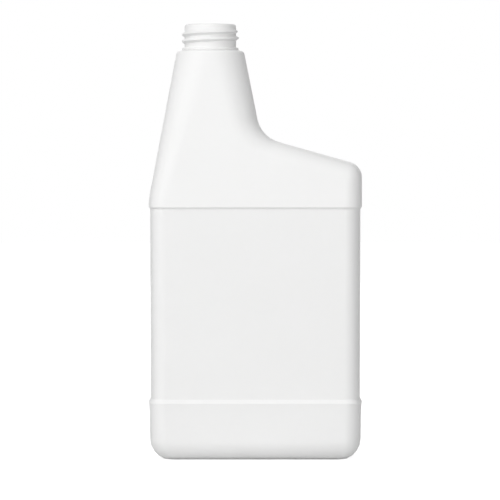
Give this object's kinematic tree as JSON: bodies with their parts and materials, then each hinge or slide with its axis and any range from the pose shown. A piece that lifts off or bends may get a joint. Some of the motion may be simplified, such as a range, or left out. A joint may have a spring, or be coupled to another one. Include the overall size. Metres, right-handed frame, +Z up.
{
  "type": "oblong plastic bottle",
  "caption": "Oblong blow-moulded plastic bottle with a recessed label panel, a sloping shoulder and an offset tapering neck with an open screw-thread mouth.",
  "frame": {"origin": "on the floor under the middle of the body", "axes": "+Z up along the height, +X along the width away from the neck, +Y along the depth towards the back"},
  "size_m": [0.1022, 0.055, 0.2075],
  "materials": {
    "bottle": "satin"
  },
  "bodies": {
    "root": {"bottle": "bottle"}
  },
  "joints": []
}
